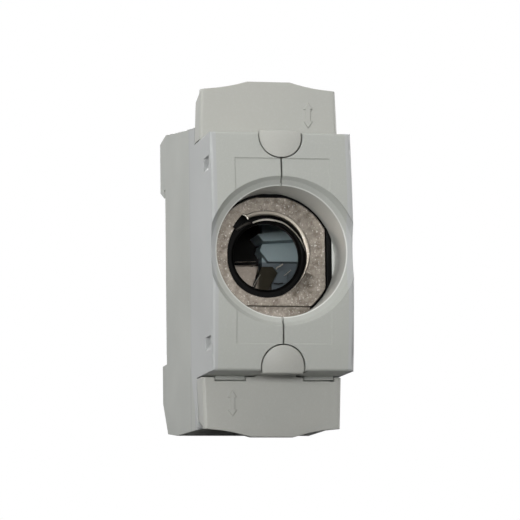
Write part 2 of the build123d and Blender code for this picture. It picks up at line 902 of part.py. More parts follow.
def terminal_screw():
    """A cheese-head screw with a slot and cross drive."""
    head = rod_y(screw_head_radius, screw_head_depth, screw_head_depth + screw_head_height, 0, terminal_z)
    rim = [e for e in head.edges() if e.center().Y < screw_head_depth + touch]
    head = chamfer(rim, screw_edge)
    neck_end = screw_head_depth + screw_head_height + screw_neck
    shank = rod_y(screw_radius, screw_head_depth + drive_depth, neck_end, 0, terminal_z)
    shank += rod_y(screw_root_radius, neck_end, tongue_depth - fine_clearance, 0, terminal_z)
    drive = block_box(
        -screw_head_radius, screw_head_radius, screw_head_depth - over, screw_head_depth + drive_depth,
        terminal_z - drive_slot / 2, terminal_z + drive_slot / 2,
    )
    cross_half = screw_head_radius * drive_cross_share
    cross = block_box(
        -drive_slot / 2, drive_slot / 2, screw_head_depth - over, screw_head_depth + drive_depth,
        terminal_z - cross_half, terminal_z + cross_half,
    )
    return head + shank - drive - cross


def rail_latch():
    """The slider that snaps under the rail: flanged body, wedge nose and a pull with a slot."""
    front = latch_depth
    flange_back = front + latch_flange_thickness
    flange_half = latch_half_width + latch_flange
    section = [
        (front, latch_nose_z - latch_lead),
        (front, latch_end_z + latch_corner),
        (front + latch_corner, latch_end_z),
        (latch_back, latch_end_z),
        (latch_back, latch_nose_z - latch_nose_slope),
        (front + latch_corner, latch_nose_z),
        (front + latch_gap, latch_nose_z),
    ]
    shape = side_prism(section, -latch_half_width, latch_half_width)
    shape += block_box(
        -flange_half, flange_half, front, flange_back,
        latch_end_z + latch_flange_low, rail_bottom - latch_flange_drop,
    )
    pull_low = latch_end_z + pull_slot_low
    pull = block_box(
        -pull_slot_width / 2, pull_slot_width / 2, front - over, latch_back + over,
        pull_low, pull_low + pull_slot_height,
    )
    catch_half = spring_width / 2 + clearance
    catch = block_box(
        -catch_half, catch_half, front - over, flange_back, spring_low_z + latch_gap, spring_catch_z
    )
    return shape - pull - catch


def latch_spring():
    """A folded leaf of spring steel that pushes the latch up under the rail."""
    x0 = -spring_width / 2
    low = spring_low_z + spring_end_gap
    high = spring_catch_z - clearance
    middle = latch_depth - spring_room_depth / 2
    reach = spring_room_depth / 2 - spring_strip
    points = []
    for i in range(spring_folds + 1):
        depth = middle + (reach if i % 2 else -reach)
        points.append((depth, low + (high - low) * i / spring_folds))
    points.append((latch_depth + latch_flange_thickness - spring_end_gap, high))
    face = Plane.YZ * trace(FilletPolyline(*points, radius=spring_fold_radius), spring_strip)
    return Pos(x0, 0, 0) * extrude(face, amount=spring_width, dir=(1, 0, 0))


os.makedirs("parts", exist_ok=True)

whole = housing()
left_half = block_box(-width, 0, -over, rear_depth + over, -block_height, block_height)
right_half = block_box(0, width, -over, rear_depth + over, -block_height, block_height)
save("left_shell", (whole & left_half) + (pegs(peg_radius, peg_length) - left_half))
save("right_shell", (whole & right_half) - pegs(peg_radius + peg_clearance, peg_length + peg_clearance))
cover = upper_cover_shape()
save("upper_cover", cover)
save("lower_cover", upside_down(cover))
save("thread_plate", thread_plate())
save("insulating_ring", insulating_ring())
save("plate_strip", plate_strip())
save("bottom_contact", bottom_contact())
save("contact_backing", contact_backing())
save("contact_rivets", contact_rivets())
save("inner_carrier", inner_carrier())
save("rear_screen", rear_screen())
cage = clamp_cage()
save("upper_clamp_cage", cage)
save("lower_clamp_cage", upside_down(cage))
screw = terminal_screw()
save("upper_terminal_screw", screw)
save("lower_terminal_screw", upside_down(screw))
save("rail_latch", rail_latch())
save("latch_spring", latch_spring())
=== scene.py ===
import math
import bpy
import numpy as np
from mathutils import Matrix, Vector


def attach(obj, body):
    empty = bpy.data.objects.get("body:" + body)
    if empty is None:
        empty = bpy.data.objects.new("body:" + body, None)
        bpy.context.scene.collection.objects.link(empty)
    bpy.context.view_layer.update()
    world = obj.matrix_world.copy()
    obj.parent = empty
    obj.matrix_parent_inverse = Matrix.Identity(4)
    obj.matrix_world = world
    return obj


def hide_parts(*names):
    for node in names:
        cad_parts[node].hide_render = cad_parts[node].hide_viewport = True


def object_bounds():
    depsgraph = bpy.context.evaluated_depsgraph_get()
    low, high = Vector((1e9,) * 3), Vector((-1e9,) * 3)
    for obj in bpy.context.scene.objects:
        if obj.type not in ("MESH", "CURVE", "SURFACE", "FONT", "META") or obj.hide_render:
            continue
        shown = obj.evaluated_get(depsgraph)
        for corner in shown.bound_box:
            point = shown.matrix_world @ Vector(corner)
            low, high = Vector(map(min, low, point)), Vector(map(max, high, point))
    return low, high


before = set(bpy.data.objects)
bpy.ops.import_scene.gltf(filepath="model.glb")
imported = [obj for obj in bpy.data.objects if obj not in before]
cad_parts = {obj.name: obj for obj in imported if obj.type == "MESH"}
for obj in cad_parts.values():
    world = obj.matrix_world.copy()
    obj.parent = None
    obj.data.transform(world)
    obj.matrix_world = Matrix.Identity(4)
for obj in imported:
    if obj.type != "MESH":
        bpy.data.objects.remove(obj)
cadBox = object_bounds()
print("frame loaded:", len(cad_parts), "nodes")

mm = 0.001
frontFace = -53.3  # Y of the front face in mm, where the rail seat is at 0


def behindFront(depth):
    # Y in metres of a place that lies depth mm behind the front face
    return (frontFace + depth) * mm


# the camera as fitted to the photograph, in metres and degrees
camera = {
    "place": (-0.12155, -0.65194, -0.07693),
    "turnZ": -11.06,
    "tiltX": 97.008,
    "roll": -0.703,
    "lens": 228.07,
    "sensor": 36,
    "nearest": 0.01,
}
cameraData = bpy.data.cameras.new("photoCamera")
cameraData.lens = camera["lens"]
cameraData.sensor_width = camera["sensor"]
cameraData.clip_start = camera["nearest"]
cameraObject = bpy.data.objects.new("photoCamera", cameraData)
cameraObject.matrix_world = (
    Matrix.Translation(camera["place"])
    @ Matrix.Rotation(math.radians(camera["turnZ"]), 4, "Z")
    @ Matrix.Rotation(math.radians(camera["tiltX"]), 4, "X")
    @ Matrix.Rotation(math.radians(camera["roll"]), 4, "Z")
)
bpy.context.scene.collection.objects.link(cameraObject)
bpy.context.scene.camera = cameraObject
bpy.context.scene.view_settings.view_transform = "Standard"


def addNode(tree, kind, **settings):
    node = tree.nodes.new(kind)
    for key, value in settings.items():
        if hasattr(node, key):
            setattr(node, key, value)
        else:
            node.inputs[key.replace("_", " ")].default_value = value
    return node


def placeLight(name, azimuth, elevation, distance, size, power, colour):
    # azimuth and elevation in degrees round the aimed point, 0 straight in front
    turn, rise = math.radians(azimuth), math.radians(elevation)
    way = Vector((
        math.sin(turn) * math.cos(rise), -math.cos(turn) * math.cos(rise), math.sin(rise)))
    place = Vector(studio["aim"]) + distance * way
    data = bpy.data.lights.new(name, "AREA")
    data.shape = "RECTANGLE"
    data.size, data.size_y = size
    data.energy = power
    data.color = colour
    light = bpy.data.objects.new(name, data)
    aim = (-way).to_track_quat("-Z", "Y")
    light.matrix_world = Matrix.Translation(place) @ aim.to_matrix().to_4x4()
    bpy.context.scene.collection.objects.link(light)


white = (1.0, 1.0, 1.0)
warmWhite = (1.0, 1.0, 0.99)
lowPanel = (0.20, 0.09)
tallPanel = (0.20, 0.12)
studio = {
    "aim": (0, -0.035, 0.012),
    "backdropColour": white,
    "skyColour": (0.05, 0.05, 0.05),
    "horizonColour": (0.04, 0.04, 0.04),
    "groundColour": (0.05, 0.05, 0.05),
    "horizonStop": 0.5,
    # azimuth, elevation, distance, panel, power and colour of each light
    "lights": {
        "camera": (-11, -7, 0.42, lowPanel, 1.12, warmWhite),
        "front": (-25, -5, 0.42, lowPanel, 0.72, warmWhite),
        "side": (-80, 0, 0.42, lowPanel, 0.20, (0.97, 0.98, 1.0)),
        "high": (-93, 32, 0.22, lowPanel, 0.155, (0.985, 1.0, 0.97)),
        "top": (0, 60, 0.22, lowPanel, 0.23, warmWhite),
        "right": (105, 10, 0.42, tallPanel, 0.7, white),
        "back": (175, 25, 0.42, tallPanel, 0.9, white),
    },
}
for name, values in studio["lights"].items():
    placeLight(name + "Light", *values)

# the backdrop is the world: white where it is seen, and a soft sky where it lights
world = bpy.data.worlds.new("studioWorld")
world.use_nodes = True
bpy.context.scene.world = world
tree = world.node_tree
rays = addNode(tree, "ShaderNodeLightPath")
seen = addNode(tree, "ShaderNodeMath", operation="MAXIMUM")
seenThrough = addNode(tree, "ShaderNodeMath", operation="MAXIMUM")
direction = addNode(tree, "ShaderNodeTexCoord")
height = addNode(tree, "ShaderNodeSeparateXYZ")
sky = addNode(tree, "ShaderNodeValToRGB")
sky.color_ramp.elements.new(studio["horizonStop"])
skyStops = ("groundColour", "horizonColour", "skyColour")
for stop, colour in zip(sky.color_ramp.elements, skyStops):
    stop.color = (*studio[colour], 1)
level = addNode(tree, "ShaderNodeMapRange")
level.inputs["From Min"].default_value = -1
level.inputs["From Max"].default_value = 1
shade = addNode(tree, "ShaderNodeMix", data_type="RGBA")
shade.inputs["B"].default_value = (*studio["backdropColour"], 1)
tree.links.new(direction.outputs["Generated"], height.inputs["Vector"])
tree.links.new(height.outputs["Z"], level.inputs["Value"])
tree.links.new(level.outputs["Result"], sky.inputs["Fac"])
tree.links.new(sky.outputs["Color"], shade.inputs["A"])
tree.links.new(rays.outputs["Is Camera Ray"], seen.inputs[0])
tree.links.new(rays.outputs["Is Glossy Ray"], seen.inputs[1])
tree.links.new(seen.outputs[0], seenThrough.inputs[0])
tree.links.new(rays.outputs["Is Transmission Ray"], seenThrough.inputs[1])
tree.links.new(seenThrough.outputs[0], shade.inputs["Factor"])
tree.links.new(shade.outputs["Result"], tree.nodes["Background"].inputs["Color"])

# the floor is one-sided, because the photograph looks up at the object from below its base
floor = {
    "halfSize": 0.9,
    "colour": (0.80, 0.80, 0.79, 1),    # as the camera sees it
    "bounce": (0.20, 0.20, 0.20, 1),    # as it lights the object
    "roughness": 0.9,
}
floorHeight = cadBox[0][2]
reach = floor["halfSize"]
floorMesh = bpy.data.meshes.new("floor")
floorMesh.from_pydata(
    [(-reach, -reach, floorHeight), (reach, -reach, floorHeight),
     (reach, reach, floorHeight), (-reach, reach, floorHeight)], [], [(0, 1, 2, 3)])
floorObject = bpy.data.objects.new("floor", floorMesh)
bpy.context.scene.collection.objects.link(floorObject)
floorMaterial = bpy.data.materials.new("floorPaper")
floorMaterial.use_nodes = True
tree = floorMaterial.node_tree
paper = tree.nodes["Principled BSDF"]
paper.inputs["Roughness"].default_value = floor["roughness"]
rays = addNode(tree, "ShaderNodeLightPath")
tone = addNode(tree, "ShaderNodeMix", data_type="RGBA")
tone.inputs["A"].default_value = floor["bounce"]
tone.inputs["B"].default_value = floor["colour"]
tree.links.new(rays.outputs["Is Camera Ray"], tone.inputs["Factor"])
tree.links.new(tone.outputs["Result"], paper.inputs["Base Color"])
side = addNode(tree, "ShaderNodeNewGeometry")
clear = addNode(tree, "ShaderNodeBsdfTransparent")
pick = addNode(tree, "ShaderNodeMixShader")
tree.links.new(side.outputs["Backfacing"], pick.inputs["Fac"])
tree.links.new(paper.outputs["BSDF"], pick.inputs[1])
tree.links.new(clear.outputs["BSDF"], pick.inputs[2])
tree.links.new(pick.outputs["Shader"], tree.nodes["Material Output"].inputs["Surface"])
floorMesh.materials.append(floorMaterial)
print("camera, lights and floor placed")


def startMaterial(name):
    # a new material with its tree and shader
    material = bpy.data.materials.new(name)
    material.use_nodes = True
    return material, material.node_tree, material.node_tree.nodes["Principled BSDF"]


def noise(tree, place, scale, detail=3.0, roughness=0.55, distortion=0.0):
    node = addNode(tree, "ShaderNodeTexNoise")
    node.inputs["Scale"].default_value = scale
    node.inputs["Detail"].default_value = detail
    node.inputs["Roughness"].default_value = roughness
    node.inputs["Distortion"].default_value = distortion
    tree.links.new(place, node.inputs["Vector"])
    return node.outputs["Fac"]


def spread(tree, value, low, high, fromLow=0.3, fromHigh=0.7):
    node = addNode(tree, "ShaderNodeMapRange")
    node.inputs["From Min"].default_value = fromLow
    node.inputs["From Max"].default_value = fromHigh
    node.inputs["To Min"].default_value = low
    node.inputs["To Max"].default_value = high
    tree.links.new(value, node.inputs["Value"])
    return node.outputs["Result"]


def blendColours(tree, factor, first, second):
    node = addNode(tree, "ShaderNodeMix", data_type="RGBA")
    for socket, colour in (("A", first), ("B", second)):
        if isinstance(colour, tuple):
            node.inputs[socket].default_value = (*colour, 1)
        else:
            tree.links.new(colour, node.inputs[socket])
    tree.links.new(factor, node.inputs["Factor"])
    return node.outputs["Result"]


def roundedBump(tree, shader, height, strength, distance, edge, samples=6):
    # grain on top of an edge softened by a small radius
    bevel = addNode(tree, "ShaderNodeBevel", samples=samples)
    bevel.inputs["Radius"].default_value = edge
    bump = addNode(tree, "ShaderNodeBump")
    bump.inputs["Strength"].default_value = strength
    bump.inputs["Distance"].default_value = distance
    tree.links.new(height, bump.inputs["Height"])
    tree.links.new(bevel.outputs["Normal"], bump.inputs["Normal"])
    tree.links.new(bump.outputs["Normal"], shader.inputs["Normal"])


# the well's walls, painted lighter as painted light, and the part of the housing behind the
# thread plate, painted nearly black as painted shade
well = {"radius": 13.0 * mm, "front": behindFront(1.9), "back": behindFront(12.55)}
throat = {"radius": 12.6 * mm, "front": behindFront(12.65), "back": behindFront(17.5)}


def roundZone(tree, place, zone):
    # 1 in a round zone: near enough to the well's axis, and between two depths
    parts = addNode(tree, "ShaderNodeSeparateXYZ")
    tree.links.new(place, parts.inputs["Vector"])
    flat = addNode(tree, "ShaderNodeCombineXYZ")
    tree.links.new(parts.outputs["X"], flat.inputs["X"])
    tree.links.new(parts.outputs["Z"], flat.inputs["Y"])
    reach = addNode(tree, "ShaderNodeVectorMath", operation="LENGTH")
    tree.links.new(flat.outputs["Vector"], reach.inputs[0])
    tests = []
    for source, operation, limit in (
            (reach.outputs["Value"], "LESS_THAN", zone["radius"]),
            (parts.outputs["Y"], "GREATER_THAN", zone["front"]),
            (parts.outputs["Y"], "LESS_THAN", zone["back"])):
        test = addNode(tree, "ShaderNodeMath", operation=operation)
        tree.links.new(source, test.inputs[0])
        test.inputs[1].default_value = limit
        tests.append(test.outputs[0])
    for other in tests[1:]:
        both = addNode(tree, "ShaderNodeMath", operation="MULTIPLY")
        tree.links.new(tests[0], both.inputs[0])
        tree.links.new(other, both.inputs[1])
        tests[0] = both.outputs[0]
    return tests[0]


def paintLight(tree, place, colour, lightMark):
    # painted light or shade: another tone that sets in between from and to along one axis, or by
    # the distance from a centre on it; where outside is given, only that far from the middle of
    # the width
    parts = addNode(tree, "ShaderNodeSeparateXYZ")
    tree.links.new(place, parts.inputs["Vector"])
    measure = parts.outputs[lightMark["axis"]]
    if "centre" in lightMark:
        offset = addNode(tree, "ShaderNodeMath", operation="SUBTRACT")
        offset.inputs[1].default_value = lightMark["centre"]
        distance = addNode(tree, "ShaderNodeMath", operation="ABSOLUTE")
        tree.links.new(measure, offset.inputs[0])
        tree.links.new(offset.outputs[0], distance.inputs[0])
        measure = distance.outputs[0]
    beyond = spread(tree, measure, 0, lightMark["amount"], lightMark["from"], lightMark["to"])
    if "outside" in lightMark:
        across = addNode(tree, "ShaderNodeMath", operation="ABSOLUTE")
        far = addNode(tree, "ShaderNodeMath", operation="GREATER_THAN")
        far.inputs[1].default_value = lightMark["outside"]
        both = addNode(tree, "ShaderNodeMath", operation="MULTIPLY")
        tree.links.new(parts.outputs["X"], across.inputs[0])
        tree.links.new(across.outputs[0], far.inputs[0])
        tree.links.new(far.outputs[0], both.inputs[0])
        tree.links.new(beyond, both.inputs[1])
        beyond = both.outputs[0]
    return blendColours(tree, beyond, colour, lightMark["colour"])


mouldedLook = {
    "cloudDetail": 3,
    "speckDetail": 2,
    "speckRoughness": 0.6,
    "speckBand": (0.5, 0.75),       # of the noise, where specks set in
    "glossChange": 0.05,
    "grainDepth": 0.03 * mm,
}


def mouldedPlastic(name, finish, look=mouldedLook):
    # moulded plastic: two close tones in slow clouds, a fine spark grain and uneven gloss
    material, tree, shader = startMaterial(name)
    place = addNode(tree, "ShaderNodeTexCoord").outputs["Object"]
    clouds = noise(tree, place, finish["cloudScale"], look["cloudDetail"])
    specks = noise(tree, place, finish["grainScale"], look["speckDetail"], look["speckRoughness"])
    colour = blendColours(
        tree, spread(tree, clouds, 0, 1), finish["colour"], finish["otherColour"])
    speckled = spread(tree, specks, 0, finish["speckAmount"], *look["speckBand"])
    colour = blendColours(tree, speckled, colour, finish["speckColour"])
    gloss = spread(
        tree, clouds, finish["roughness"] - look["glossChange"],
        finish["roughness"] + look["glossChange"])
    # painted light and shade, where the finish lists them
    for lightMark in finish.get("paintedLight", ()):
        colour = paintLight(tree, place, colour, lightMark)
    # painted light on the well's walls and painted shade behind the thread plate; the well's
    # gloss is the housing's own
    if "wellPaintedLight" in finish:
        inWell = roundZone(tree, place, well)
        colour = blendColours(tree, inWell, colour, finish["wellPaintedLight"])
        inThroat = roundZone(tree, place, throat)
        colour = blendColours(tree, inThroat, colour, finish["throatPaintedShade"])
        shine = spread(tree, inThroat, finish["specular"], finish["throatSpecular"], 0, 1)
        tree.links.new(shine, shader.inputs["Specular IOR Level"])
        polish = addNode(tree, "ShaderNodeMix", data_type="FLOAT")
        tree.links.new(inWell, polish.inputs["Factor"])
        tree.links.new(gloss, polish.inputs["A"])
        polish.inputs["B"].default_value = finish["wellRoughness"]
        gloss = polish.outputs["Result"]
    else:
        shader.inputs["Specular IOR Level"].default_value = finish["specular"]
    tree.links.new(colour, shader.inputs["Base Color"])
    tree.links.new(gloss, shader.inputs["Roughness"])
    roundedBump(
        tree, shader, specks, finish["grainStrength"], look["grainDepth"], finish["edge"])
    return material


platedLook = {
    "mottleDetail": 6,
    "mottleRoughness": 0.62,
    "mottleTwist": 0.3,
    "grainDetail": 4,
    "grainRoughness": 0.6,
    "pitDetail": 2,
    "pitRoughness": 0.5,
    "pitBand": (0.6, 0.72),         # of the noise, where pits set in
    "glossLess": 0.08,
    "glossMore": 0.1,
    "grainDepth": 0.04 * mm,
}


def platedMetal(name, finish, look=platedLook):
    # plated sheet: mottled tones, small bright pits and a drawn grain along one direction
    material, tree, shader = startMaterial(name)
    place = addNode(tree, "ShaderNodeTexCoord").outputs["Object"]
    stretch = addNode(tree, "ShaderNodeMapping")
    stretch.inputs["Scale"].default_value = finish["drawn"]
    tree.links.new(place, stretch.inputs["Vector"])
    mottle = noise(
        tree, place, finish["mottleScale"], look["mottleDetail"], look["mottleRoughness"],
        look["mottleTwist"])
    grain = noise(
        tree, stretch.outputs["Vector"], finish["grainScale"], look["grainDetail"],
        look["grainRoughness"])
    pits = noise(tree, place, finish["pitScale"], look["pitDetail"], look["pitRoughness"])
    colour = blendColours(
        tree, spread(tree, mottle, 0, 1), finish["colour"], finish["otherColour"])
    pitted = spread(tree, pits, 0, finish["pitAmount"], *look["pitBand"])
    colour = blendColours(tree, pitted, colour, finish["pitColour"])
    # painted light and shade, where the finish lists them
    for lightMark in finish.get("paintedLight", ()):
        colour = paintLight(tree, place, colour, lightMark)
    tree.links.new(colour, shader.inputs["Base Color"])
    shader.inputs["Metallic"].default_value = finish["metallic"]
    gloss = spread(
        tree, mottle, finish["roughness"] - look["glossLess"],
        finish["roughness"] + look["glossMore"])
    tree.links.new(gloss, shader.inputs["Roughness"])
    roundedBump(
        tree, shader, grain, finish["grainStrength"], look["grainDepth"], finish["edge"])
    return material


def wearMaterial(material, *nodes):
    # gives CAD nodes one material in place of the plain one they came with
    for node in nodes:
        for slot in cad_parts[node].material_slots:
            slot.link = "DATA"
            slot.material = material


housingFinish = {
    "colour": (0.440, 0.450, 0.418),
    "otherColour": (0.412, 0.422, 0.396),
    "speckColour": (0.50, 0.51, 0.49),
    "speckAmount": 0.35,
    "cloudScale": 45,
    "grainScale": 3200,
    "grainStrength": 0.25,
    "roughness": 0.46,
    "specular": 0.45,
    "edge": 0.22 * mm,
}
sideWall = 12.4 * mm        # only the side walls lie farther than this from the middle
# painted shade: the tone of the fine lines along the side walls' ridges
ridgeShadeColour = (0.27, 0.275, 0.27)
housingWellFinish = dict(
    housingFinish,
    # painted light: the well's walls lighter; painted shade: the part behind the thread plate
    # nearly black, with little shine
    wellPaintedLight=(0.68, 0.69, 0.66),
    wellRoughness=0.27,
    throatPaintedShade=(0.006, 0.006, 0.006),
    throatSpecular=0.03,
    # painted light: the side walls' front part is painted a little bluer, behind two fine lines
    # of painted shade along ridges
    paintedLight=[
        {"axis": "Y", "from": behindFront(25.2), "to": behindFront(24.4), "amount": 1.0,
         "outside": sideWall, "colour": (0.439, 0.449, 0.448)},
        {"axis": "Y", "centre": behindFront(28.7), "from": 0.6 * mm, "to": 0.1 * mm,
         "amount": 0.5, "outside": sideWall, "colour": ridgeShadeColour},
        {"axis": "Y", "centre": behindFront(24.4), "from": 0.5 * mm, "to": 0.1 * mm,
         "amount": 0.35, "outside": sideWall, "colour": ridgeShadeColour},
    ],
)
coverFinish = dict(
    housingFinish,
    colour=(0.458, 0.456, 0.422),
    otherColour=(0.436, 0.440, 0.412),
    cloudScale=60,
)
carrierFinish = dict(
    housingFinish,
    colour=(0.40, 0.50, 0.525),
    otherColour=(0.36, 0.455, 0.48),
    speckColour=(0.44, 0.53, 0.55),
    # painted shadow: its lower part is painted darker
    paintedLight=[{"axis": "Z", "from": 2.95 * mm, "to": 2.75 * mm, "amount": 0.8,
             "colour": (0.075, 0.09, 0.11)}],
    roughness=0.4,
    edge=0.15 * mm,
)
latchFinish = dict(
    housingFinish,
    colour=(0.21, 0.225, 0.235),
    otherColour=(0.185, 0.20, 0.21),
    speckColour=(0.26, 0.27, 0.28),
    roughness=0.5,
)
blackFinish = dict(
    housingFinish,
    colour=(0.003, 0.003, 0.003),
    otherColour=(0.005, 0.0045, 0.004),
    speckColour=(0.008, 0.0075, 0.007),
    roughness=0.3,
    specular=0.06,
    grainStrength=0.08,
    edge=0.25 * mm,
)
nickelFinish = {
    "colour": (0.11, 0.092, 0.074),
    "otherColour": (0.29, 0.26, 0.225),
    "pitColour": (0.80, 0.78, 0.74),
    "pitAmount": 0.4,
    "mottleScale": 900,
    "pitScale": 2600,
    "grainScale": 900,
    "grainStrength": 0.35,
    "drawn": (1, 1, 1),
    "metallic": 1.0,
    "roughness": 0.38,
    "edge": 0.12 * mm,
}
# painted highlight: the raised turn is painted brighter
plateFinish = dict(nickelFinish, paintedLight=[
    {"axis": "Y", "from": behindFront(12.3), "to": behindFront(11.9), "amount": 0.8,
     "colour": (0.33, 0.30, 0.255)}])
contactFinish = dict(
    nickelFinish,
    colour=(0.24, 0.205, 0.175),
    otherColour=(0.32, 0.28, 0.24),
    drawn=(1, 1, 0.06),
    grainScale=2600,
    grainStrength=0.5,
    pitAmount=0.15,
    # painted shade: the tongue to the right of the slit is painted nearly black
    paintedLight=[{"axis": "X", "from": 2.0 * mm, "to": 2.9 * mm, "amount": 0.97,
             "colour": (0.02, 0.018, 0.012)}],
)
# painted shade: a near-black plating for the contact's backing seen through the slit and the
# turn's foot
paintedShadeFinish = dict(
    nickelFinish,
    colour=(0.03, 0.028, 0.025),
    otherColour=(0.06, 0.055, 0.05),
    pitAmount=0.05,
)
# painted highlight: a pale, half-metallic plating for edges and lines that catch the light
paintedHighlightFinish = dict(
    nickelFinish,
    colour=(0.62, 0.58, 0.50),
    otherColour=(0.80, 0.76, 0.68),
    pitAmount=0.1,
    metallic=0.5,
    roughness=0.3,
    edge=0.03 * mm,
)
zincFinish = dict(
    nickelFinish,
    colour=(0.46, 0.47, 0.47),
    otherColour=(0.60, 0.61, 0.60),
    pitColour=(0.8, 0.8, 0.78),
    pitAmount=0.2,
    mottleScale=180,
    roughness=0.33,
)
screwFinish = dict(
    zincFinish,
    colour=(0.50, 0.49, 0.45),
    otherColour=(0.62, 0.60, 0.55),
    mottleScale=420,
)
springFinish = dict(
    nickelFinish,
    colour=(0.34, 0.33, 0.32),
    otherColour=(0.42, 0.41, 0.40),
    pitAmount=0.1,
    roughness=0.28,
)

housingPlastic = mouldedPlastic("housingPlastic", housingWellFinish)
coverPlastic = mouldedPlastic("coverPlastic", coverFinish)
carrierPlastic = mouldedPlastic("carrierPlastic", carrierFinish)
latchPlastic = mouldedPlastic("latchPlastic", latchFinish)
blackPlastic = mouldedPlastic("blackPlastic", blackFinish)
nickelPlating = platedMetal("nickelPlating", plateFinish)
contactMetal = platedMetal("contactMetal", contactFinish)
zincPlating = platedMetal("zincPlating", zincFinish)
screwPlating = platedMetal("screwPlating", screwFinish)
springSteel = platedMetal("springSteel", springFinish)
paintedShadeSteel = platedMetal("paintedShadeSteel", paintedShadeFinish)
paintedHighlightMetal = platedMetal("paintedHighlightMetal", paintedHighlightFinish)

wearMaterial(housingPlastic, "left_shell", "right_shell")
wearMaterial(coverPlastic, "upper_cover", "lower_cover")
wearMaterial(carrierPlastic, "inner_carrier")
wearMaterial(latchPlastic, "rail_latch")
wearMaterial(nickelPlating, "thread_plate", "plate_strip")
wearMaterial(contactMetal, "bottom_contact", "contact_rivets")
wearMaterial(springSteel, "latch_spring")
wearMaterial(paintedShadeSteel, "contact_backing")
wearMaterial(zincPlating, "upper_clamp_cage", "lower_clamp_cage")
wearMaterial(screwPlating, "upper_terminal_screw", "lower_terminal_screw")
wearMaterial(blackPlastic, "insulating_ring", "rear_screen")
print("materials made:", len(bpy.data.materials))


def gridMesh(name, points, material, closedRows=True, sharpAngle=35):
    # a mesh from a grid of points, rows by columns: the last column joins the first, and the
    # last row the first if closedRows is set
    rows, columns = points.shape[:2]
    row, column = np.meshgrid(
        np.arange(rows if closedRows else rows - 1), np.arange(columns), indexing="ij")
    nextRow = (row + 1) % rows
    nextColumn = (column + 1) % columns
    corners = np.stack([
        row * columns + column, row * columns + nextColumn,
        nextRow * columns + nextColumn, nextRow * columns + column], axis=-1).reshape(-1, 4)
    mesh = bpy.data.meshes.new(name)
    mesh.vertices.add(rows * columns)
    mesh.vertices.foreach_set("co", points.reshape(-1).astype(np.float32))
    mesh.loops.add(corners.size)
    mesh.loops.foreach_set("vertex_index", corners.reshape(-1).astype(np.int32))
    mesh.polygons.add(len(corners))
    mesh.polygons.foreach_set("loop_start", np.arange(0, corners.size, 4, dtype=np.int32))
    mesh.polygons.foreach_set("loop_total", np.full(len(corners), 4, dtype=np.int32))
    mesh.update(calc_edges=True)
    mesh.validate()
    mesh.shade_smooth()
    mesh.set_sharp_from_angle(angle=math.radians(sharpAngle))
    mesh.materials.append(material)
    piece = bpy.data.objects.new(name, mesh)
    bpy.context.scene.collection.objects.link(piece)
    return piece


def ease(t):
    # an S curve from 0 to 1
    return t * t * (3 - 2 * t)


threadPlate = {
    "centre": (-0.3, 0.6),      # middle of the hole, X and Z
    "front": 12.6,              # depth of the plate's face
    "thickness": 1.0,
    "outerRadius": 12.05,
    "halfWidth": 10.7,
    "topEdge": 11.75,
    "lowEdge": -9.2,
    "notchStart": 121,          # degrees, where the turn starts
    "notchWidth": 22,
    "notchRadius": (9.3, 8.75),     # at the notch's two ends
    "lift": 1.0,                # how far the turn stands out at its start
    "liftAngle": 190,           # degrees over which it sinks into the plate
    "sheet": 0.75,              # the drawn sheet's thickness
    "bendWidth": 0.08,
    "topSlope": 0.12,           # the bend's lean into the turn, as a share of the turn's width
    "lipReach": 0.26,
    "edge": 0.12,
    # the hole's radius and the turn's width by the angle gone round from the notch
    "stations": (0, 26, 46, 64, 81, 101, 116, 131, 146, 169, 192, 214, 239, 259, 299, 319, 338),
    "holeRadius": (
        7.95, 7.57, 7.45, 7.34, 7.22, 7.0, 7.1, 7.2, 7.3, 7.6, 8.0, 8.14, 8.32, 8.4, 8.0, 8.09,
        8.28),
    "turnWidth": (
        0.85, 0.88, 0.9, 0.88, 0.9, 1.0, 0.9, 0.6, 0.4, 0.3, 0.2, 0.2, 0.2, 0.2, 0.2, 0.2, 0.2),
    "turnSteps": 241,
    "notchSteps": 9,
    "notchMargin": 0.02,        # degrees between the notch's sides and the turn's ends
    "bendSteps": 8,
    "lipSteps": 9,
    "lipSweep": (10, 170),      # degrees of the half ellipse
    "returnSteps": 6,
}


